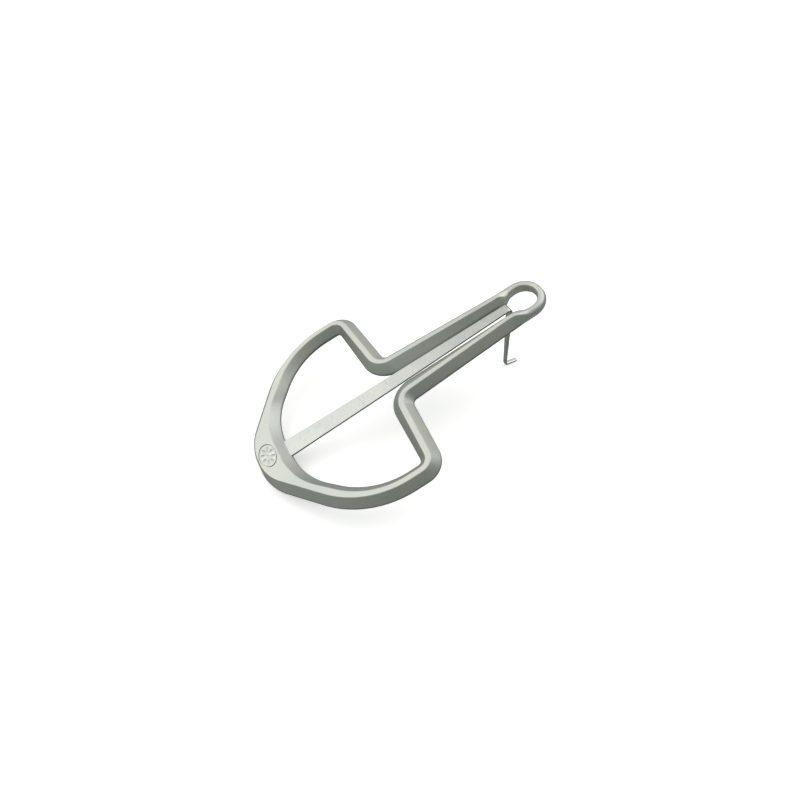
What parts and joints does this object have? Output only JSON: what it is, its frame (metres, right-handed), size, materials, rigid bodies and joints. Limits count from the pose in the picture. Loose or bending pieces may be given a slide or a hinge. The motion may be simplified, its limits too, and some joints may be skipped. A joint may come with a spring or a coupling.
{
  "type": "jaw harp",
  "caption": "Jaw harp: a flat bow-shaped cast frame with parallel arms and a cord eye, holding a tapered spring reed that ends in a bent trigger.",
  "frame": {"origin": "centre of the lanyard eye, on the frame's mid-plane", "axes": "+X from the crown to the eye along the reed's centreline, +Y to the left arm (the part is the same on both sides of Y = 0), +Z out of the lands that rest on the teeth, with the trigger hanging towards -Z"},
  "size_m": [0.0945, 0.0638, 0.0288],
  "materials": {
    "cast_metal": "bead-blasted satin casting with soft polished edges",
    "spring_steel": "fine ground satin"
  },
  "bodies": {
    "frame": {"crown": "cast_metal", "bow_left": "cast_metal", "bow_right": "cast_metal", "arm_left": "cast_metal", "arm_right": "cast_metal", "eye": "cast_metal", "reed_root": "spring_steel"},
    "tongue": {"reed_tongue": "spring_steel", "reed_trigger": "spring_steel"}
  },
  "joints": [
    {"name": "tongue_flex", "type": "hinge", "parent": "frame", "child": "tongue", "pos_m": [-0.0536, 0, 0.0003], "axis": [0, 1, 0], "range_deg": [-9, 9], "stiffness_Nm_per_rad": 0.315}
  ]
}
